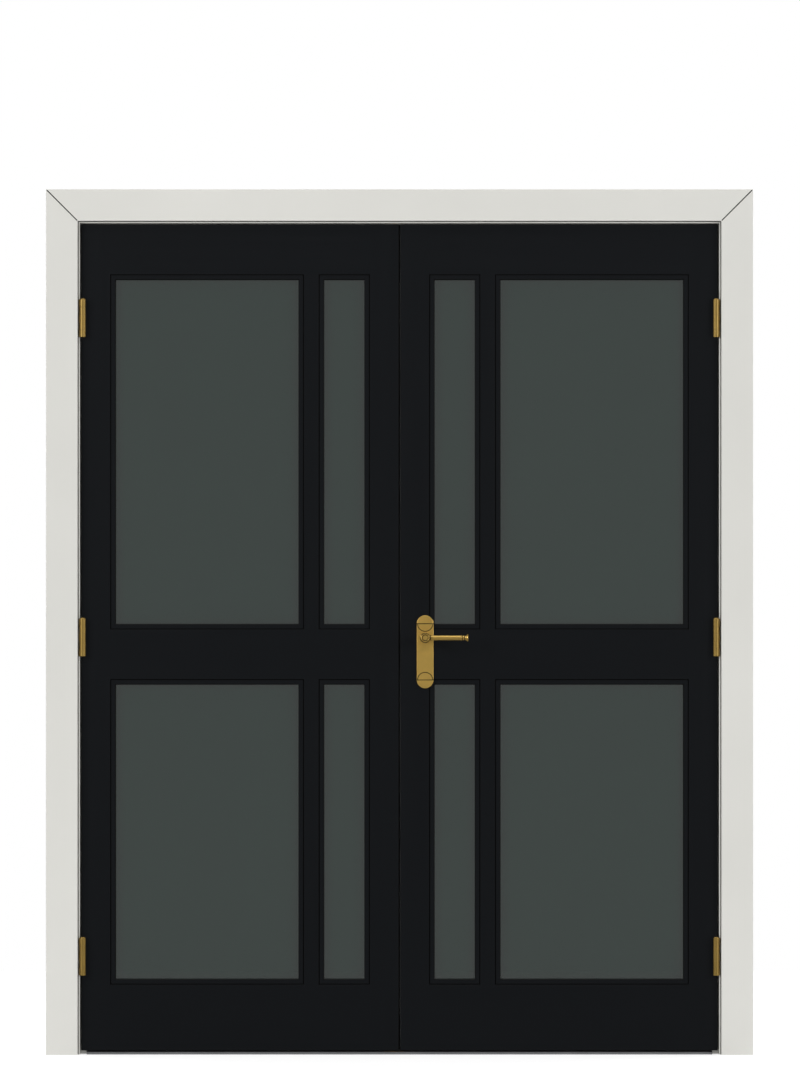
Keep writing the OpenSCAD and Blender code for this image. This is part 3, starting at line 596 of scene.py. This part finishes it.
def turned(bm, profile, place, grooves=()):
    """Spins a profile of (radius, height) in millimetres about the local Z axis, then places it.
    Faces whose middle lies in a groove, a low and a high (radius, height), are marked engraved."""
    verts = [bm.verts.new((r * MM, 0, h * MM)) for r, h in profile]
    edges = [bm.edges.new(pair) for pair in zip(verts, verts[1:])]
    before = set(bm.verts) - set(verts)
    bmesh.ops.spin(
        bm, geom=verts + edges, cent=(0, 0, 0), axis=(0, 0, 1), angle=math.tau,
        steps=TURN_STEPS, use_merge=True, use_duplicate=False,
    )
    made = [v for v in bm.verts if v not in before]
    bmesh.ops.remove_doubles(bm, verts=made, dist=MERGE / 2)
    made = {v for v in bm.verts if v not in before}
    for face in bm.faces:
        point = face.calc_center_median() / MM
        radius = math.hypot(point.x, point.y)
        in_groove = any(a < radius < c and b < point.z < d for (a, b), (c, d) in grooves)
        if in_groove and made.issuperset(face.verts):
            set_mark(bm, [face], ENGRAVED)
    bmesh.ops.transform(bm, matrix=place, verts=list(made))


# Sizes of a lever, in millimetres. Its head reaches equally far to each side of the arm's middle.
LEVER_STAND = 46.0
HEAD_LOW = LEVER_STAND - 11
HEAD_TOP = LEVER_STAND + 11
HUB_R = 12.5
ARM_R = 6.0
PLATE_T = 4.0


def hub_profile():
    """Rose, neck and head of a lever, from the leaf's face outwards."""
    return [
        (0, 0.5), (9, 0.5), (9, PLATE_T + 0.2),
        *arc((10.7, PLATE_T + 1.0), 0.8, -90, 0, 3),
        *arc((10.7, PLATE_T + 2.0), 0.8, 0, 90, 3),
        *arc((12.5, PLATE_T + 6.8), 4.0, 270, 180, 6),
        (8.5, HEAD_LOW - 5),
        *arc((12.5, HEAD_LOW - 4.2), 4.0, 180, 115, 5),
        *arc((HUB_R - 1.5, HEAD_LOW + 1.5), 1.5, -50, 0, 4),
        *arc((HUB_R - 0.6, HEAD_TOP - 0.6), 0.6, 0, 90, 3),
        (11.7, HEAD_TOP - 0.9), (10.3, HEAD_TOP - 0.9),
        *arc((9.1, HEAD_TOP - 0.9), 1.2, 0, 180, 8),
        (7.7, HEAD_TOP - 0.9), (6.4, HEAD_TOP - 0.9),
        *arc((5.2, HEAD_TOP - 0.3), 1.0, -10, 60, 4),
        (2.9, HEAD_TOP + 0.75), (0, HEAD_TOP + 0.95),
    ]


def arm_profile(length):
    """Rod, collar and flared end of a lever, from the hub's axis outwards."""
    collar = length - 17
    flare = length - 7
    return [
        (0, 0), (ARM_R - 0.4, 0), (ARM_R - 0.4, HUB_R - 0.5), (ARM_R + 0.4, HUB_R),
        (ARM_R + 0.4, HUB_R + 1.2), (ARM_R - 0.3, HUB_R + 1.6), (ARM_R - 0.2, collar - 0.4),
        *arc((ARM_R - 0.2, collar + 0.7), 0.9, -80, 80, 6),
        (ARM_R - 1.0, collar + 1.9), (ARM_R - 1.0, collar + 3.3), (ARM_R - 0.3, collar + 3.6),
        (ARM_R - 0.2, flare - 2.4), (ARM_R - 1.2, flare - 2.1), (ARM_R - 1.2, flare - 0.6),
        *arc((ARM_R + 3.4, flare - 0.2), 4.2, 175, 115, 6),
        *arc((ARM_R + 1.6, length - 1.4), 1.4, 20, 90, 5),
        *arc((0, length - 20), 20.0, 71, 90, 6),
    ]


def lever(node, outward):
    """One lever: outward is -1 for the front and +1 for the back."""
    low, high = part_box(node)
    leaf_face = high.y if outward < 0 else low.y
    axis = Vector((low.x + HUB_R * MM, leaf_face, (low.z + high.z) / 2))
    turn_out = Matrix.Rotation(-outward * math.pi / 2, 4, "X")
    turn_along = Matrix.Rotation(math.pi / 2, 4, "Y")
    arm_place = Matrix.Translation(axis + Vector((0, outward * LEVER_STAND * MM, 0))) @ turn_along
    length = (high.x - axis.x) / MM
    hub_grooves = [
        ((10.2, HEAD_TOP - 1.1), (11.95, HEAD_TOP - 0.1)),
        ((5.9, HEAD_TOP - 1.1), (8.1, HEAD_TOP - 0.4)),
    ]
    arm_grooves = [
        ((0, HUB_R - 1), (9, HUB_R + 1.6)),
        ((0, length - 15.2), (9, length - 13.6)),
        ((0, length - 9.5), (9, length - 7.5)),
    ]
    bm = bmesh.new()
    bm.faces.layers.float.new(ENGRAVED)
    turned(bm, hub_profile(), Matrix.Translation(axis) @ turn_out, hub_grooves)
    turned(bm, arm_profile(length), arm_place, arm_grooves)
    bmesh.ops.recalc_face_normals(bm, faces=bm.faces)
    piece = finished(bm, f"{node}_turned", "lever", brass_level)
    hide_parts(node)


# ---- Back plates, in millimetres from the plate's middle, with Z away from the leaf ----

PLATE_EASE = 0.8 * MM
LINE_W = 1.8
LINE_DEPTH = 0.5
RING_R = 19.2
POST_R = 4.0
POST_L = 14.0
POST_ROOT = 0.5
BOLT_R = 2.1
BOLT_HEAD_R = 4.1
COUNTERSINK = 2.0
LEVER_HOLE_R = 9.4
TOP_BAND = 0.1
PAST = 1.0  # how far a cutter runs past the plate


def prism(points, low, high):
    """A solid with these (x, y) points as its outline, from one height to another."""
    bm = bmesh.new()
    face = bm.faces.new([bm.verts.new((x * MM, y * MM, low * MM)) for x, y in points])
    raise_faces(bm, [face], (0, 0, (high - low) * MM))
    bmesh.ops.recalc_face_normals(bm, faces=bm.faces)
    return bm


def ring_sector(centre_y, start, low, high):
    """Half of a flat ring round an end's centre, from an angle in degrees on for half a turn."""
    outer = arc((0, centre_y), RING_R, start, start + 180, HALF_TURN_STEPS)
    inner = arc((0, centre_y), RING_R - LINE_W, start + 180, start, HALF_TURN_STEPS)
    return prism(outer + inner, low, high)


def round_cutter(y, profile):
    """A turned solid on the plate's middle line."""
    bm = bmesh.new()
    turned(bm, profile, Matrix.Translation((0, y * MM, 0)))
    bmesh.ops.recalc_face_normals(bm, faces=bm.faces)
    return bm


def carve(bm, cutter, engraved=False):
    """Cuts one solid out of another, and marks the new faces as engraved if asked."""
    body = as_object(bm, "carved")
    tool = as_object(cutter, "cutter")
    for piece in (body, tool):
        if ENGRAVED not in piece.data.attributes:
            piece.data.attributes.new(ENGRAVED, "FLOAT", "FACE")
    for mark in tool.data.attributes[ENGRAVED].data:
        mark.value = float(engraved)
    step = body.modifiers.new("carve", "BOOLEAN")
    step.object = tool
    step.operation = "DIFFERENCE"
    step.solver = "EXACT"
    result = bpy.data.meshes.new_from_object(body.evaluated_get(bpy.context.evaluated_depsgraph_get()))
    bpy.data.objects.remove(body)
    bpy.data.objects.remove(tool)
    bm = bmesh.new()
    bm.from_mesh(result)
    return bm


def back_plate(node, outward):
    """A tall plate with round ends, each marked off by an engraved arc and a line across it. The
    front plate has posts for the bolts behind it, and the back plate has their countersunk holes."""
    low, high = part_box(node)
    leaf_low, leaf_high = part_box("right_meeting_stile")
    leaf_face = leaf_low.y if outward < 0 else leaf_high.y
    thickness = abs((low.y if outward < 0 else high.y) - leaf_face) / MM
    end_r = (high.x - low.x) / 2 / MM
    end_y = (high.z - low.z) / 2 / MM - end_r
    middle_point = Vector(((low.x + high.x) / 2, leaf_face, (low.z + high.z) / 2))
    spindle_low, spindle_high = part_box("spindle")
    hole_y = -outward * ((spindle_low.z + spindle_high.z) / 2 - middle_point.z) / MM

    outline = [
        *arc((0, end_y), end_r, 0, 180, HALF_TURN_STEPS),
        *arc((0, -end_y), end_r, 180, 360, HALF_TURN_STEPS),
    ]
    bm = prism(outline, 0, thickness)
    top_from = (thickness - TOP_BAND) * MM
    ease(bm, lambda edge: all(v.co.z > top_from for v in edge.verts), PLATE_EASE)
    floor_z = thickness - LINE_DEPTH
    above = thickness + PAST
    half_w = end_r + PAST
    half_line = LINE_W / 2
    for end in (-1, 1):
        arc_start = 180 if end > 0 else 0
        low_y, high_y = end * end_y - half_line, end * end_y + half_line
        line = [(-half_w, low_y), (half_w, low_y), (half_w, high_y), (-half_w, high_y)]
        bm = carve(bm, ring_sector(end * end_y, arc_start, floor_z, above), engraved=True)
        bm = carve(bm, prism(line, floor_z, above), engraved=True)
    lever_hole = [(0, -PAST), (LEVER_HOLE_R, -PAST), (LEVER_HOLE_R, above), (0, above)]
    bm = carve(bm, round_cutter(hole_y, lever_hole))
    post = [
        (BOLT_R, POST_ROOT), (POST_R, POST_ROOT), (POST_R, -POST_L), (BOLT_R, -POST_L),
        (BOLT_R, POST_ROOT),
    ]
    bolt_hole = [
        (0, -PAST), (BOLT_R, -PAST), (BOLT_R, thickness - COUNTERSINK),
        (BOLT_HEAD_R, thickness), (BOLT_HEAD_R, above), (0, above),
    ]
    for end in (-1, 1):
        if outward < 0:
            turned(bm, post, Matrix.Translation((0, end * end_y * MM, 0)))
        else:
            bm = carve(bm, round_cutter(end * end_y, bolt_hole))
    turn_out = Matrix.Translation(middle_point) @ Matrix.Rotation(-outward * math.pi / 2, 4, "X")
    bmesh.ops.transform(bm, matrix=turn_out, verts=bm.verts)
    for face in bm.faces:
        face.smooth = abs(face.normal.y) < FLAT_ON
    piece = finished(bm, f"{node}_engraved", "right_leaf", brass_upright_painted_light, smooth=False)
    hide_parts(node)


# ---- Latch spring ----

SPRING_AIR = 0.3 * MM


def latch_spring():
    """The coil in the latch, on its own mesh; how far it would shorten as the latch draws in is worked
    out, and not used.
    """
    bm = merged_copy("latch_spring")
    piece = finished(bm, "latch_spring_coil", "right_leaf", steel)
    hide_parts("latch_spring")
    low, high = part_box("latch_spring")
    joints = frame["record"]["behaviour"]["joints"]
    travel = next(j["range_m"][1] for j in joints if j["name"] == "latch_slide")
    length = high.x - low.x
    keep = (length - travel - SPRING_AIR) / length
    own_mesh(piece)


# ---- Meeting seal ----

PILE_AIR = 0.02 * MM
PILE_STEPS = 400
PILE_TAPER = 0.2
PILE_JITTER = 0.3 * MM
PILE_WAVE = 4 * MM


def black_pile():
    finish = Finish("black_pile", Roughness=0.95)
    fibres = finish.noise((4000, 1500, 900), detail=2)
    finish.colour(finish.between((0.0015, 0.0015, 0.0018), (0.006, 0.006, 0.007), fibres))
    finish.bump(fibres, 0.3 * MM)
    return finish.material


def meeting_seal():
    """The seal's base in its groove and its soft pile, which reaches almost to the other leaf."""
    low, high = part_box("meeting_seal")
    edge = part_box("left_meeting_stile")[1].x
    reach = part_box("right_meeting_stile")[0].x - PILE_AIR
    taper = PILE_TAPER * (high.y - low.y)
    outline = [
        (low.x, low.y), (edge, low.y), (reach, low.y + taper),
        (reach, high.y - taper), (edge, high.y), (low.x, high.y),
    ]
    bm = bmesh.new()
    face = bm.faces.new([bm.verts.new((x, y, low.z)) for x, y in outline])
    raise_faces(bm, [face], (0, 0, high.z - low.z))
    bmesh.ops.recalc_face_normals(bm, faces=bm.faces)
    uprights = [e for e in bm.edges if abs(e.verts[0].co.z - e.verts[1].co.z) > NEAR]
    bmesh.ops.subdivide_edges(bm, edges=uprights, cuts=PILE_STEPS)
    for vert in bm.verts:
        if vert.co.x > reach - NEAR:
            vert.co.y += PILE_JITTER * noise.noise(vert.co / PILE_WAVE)
    piece = finished(bm, "meeting_seal_pile", "left_leaf", black_pile())
    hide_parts("meeting_seal")


# ---- All the metal pieces, each plain brass one with its body and finish ----

PLAIN_BRASS = {
    "jamb_hinge_plates": ("frame", brass_hinge_painted_shade),
    "hinge_pins": ("frame", brass_hinge_painted_shade),
    "bolt_keeps": ("frame", brass_upright_painted_light),
    "left_hinge_plates": ("left_leaf", brass_hinge_painted_shade),
    "right_hinge_plates": ("right_leaf", brass_hinge_painted_shade),
    "strike_plate": ("left_leaf", brass_upright_painted_light),
    "flush_bolt_plates": ("left_leaf", brass_upright_painted_light),
    "top_bolt": ("top_bolt", brass_upright_painted_light),
    "bottom_bolt": ("bottom_bolt", brass_upright_painted_light),
}


def ironmongery():
    for node, (body, material) in PLAIN_BRASS.items():
        plain_metal(node, body, material)
    back_plate("front_backplate", -1)
    back_plate("back_backplate", 1)
    plain_metal("threshold", "frame", threshold_metal)
    lever("front_lever", -1)
    lever("back_lever", 1)
    for node in ("frame_screws", "left_leaf_screws", "right_leaf_screws"):
        dress(node, brass_level)
    for node in ("latch_case", "latch_follower", "spindle"):
        dress(node, steel)
    # The latch bolt is near black steel: painted shade, so that it reads as the shadow in the gap between
    # the leaves.
    dress("latch_bolt", steel_painted_shade)
    latch_spring()


# ---- Stage ----

FLOOR_REACH = 4.0
FLOOR_WHITE = (0.6, 0.6, 0.6)
FLOOR_GLOW = 0.6

# Each lamp's place, what it is aimed at, its width in metres and its watts.
MID_HEIGHT = (0, 0, 1.1)
LAMPS = {
    "key": ((-5.2, -3.9, 3.2), MID_HEIGHT, 2.6, 205),
    "fill": ((5.2, -3.9, 2.4), MID_HEIGHT, 2.6, 155),
    "top": ((0, -0.6, 4.6), (0, -0.3, 0), 3.5, 90),
    "back_key": ((5.2, 3.9, 3.2), MID_HEIGHT, 2.6, 205),
    "back_fill": ((-5.2, 3.9, 2.4), MID_HEIGHT, 2.6, 155),
}


def dull_white():
    """The floor's finish, which glows so that it stays as pale as the background."""
    finish = Finish(
        "floor_white", Roughness=0.9, Specular_IOR_Level=0.1,
        Emission_Strength=FLOOR_GLOW, Emission_Color=(1, 1, 1, 1),
    )
    tone = finish.noise((2, 2, 2))
    finish.colour(finish.between(shade(FLOOR_WHITE, 0.99), FLOOR_WHITE, tone))
    return finish.material


def floor():
    bm = bmesh.new()
    bmesh.ops.create_grid(bm, x_segments=1, y_segments=1, size=FLOOR_REACH)
    piece = as_object(bm, "floor")
    piece.data.materials.append(dull_white())
    piece.visible_glossy = False


def soft_light(name, place, target, size, watts):
    data = bpy.data.lights.new(name, "AREA")
    data.shape = "SQUARE"
    data.size = size
    data.energy = watts
    lamp = placed(name, data)
    lamp.location = place
    lamp.rotation_euler = (Vector(target) - Vector(place)).to_track_quat("-Z", "Y").to_euler()


def pale_surroundings(seen, cast):
    """A white background, with a weaker white light of its own on the object."""
    world = bpy.data.worlds.new("pale_surroundings")
    world.use_nodes = True
    bpy.context.scene.world = world
    sky = Wiring(world.node_tree)
    seen_directly = sky.node("ShaderNodeLightPath").outputs["Is Camera Ray"]
    inputs = {"Value": seen_directly, "To Min": cast, "To Max": seen}
    strength = sky.value("ShaderNodeMapRange", inputs=inputs)
    backdrop = sky.tree.nodes["Background"]
    sky.feed(backdrop.inputs["Color"], (1, 1, 1, 1))
    sky.feed(backdrop.inputs["Strength"], strength)


LENS = 300.0
SENSOR = 36.0
FARTHEST_SEEN = 200.0
VIEW_HEIGHT = 2.5595
VIEW_CENTRE = Vector((0.0012, 0, 1.2486))


def camera():
    """Looks straight at the front from far off, so that upright and level lines stay parallel."""
    data = bpy.data.cameras.new("camera")
    data.lens = LENS
    data.sensor_width = SENSOR
    data.clip_end = FARTHEST_SEEN
    eye = placed("camera", data)
    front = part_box("front_head_casing")[0].y
    eye.location = (VIEW_CENTRE.x, front - VIEW_HEIGHT * LENS / SENSOR, VIEW_CENTRE.z)
    eye.rotation_euler = (math.pi / 2, 0, 0)
    bpy.context.scene.camera = eye


def studio():
    bpy.context.scene.view_settings.view_transform = "Standard"
    camera()
    floor()
    pale_surroundings(seen=1.0, cast=0.12)
    for name, lamp in LAMPS.items():
        soft_light(name, *lamp)


for side in ("left", "right"):
    leaf_timber(side)
    leaf_beads(side)
    for pane in PANES:
        dress(f"{side}_{pane}", glass)
frame_timber()
meeting_seal()
ironmongery()
studio()
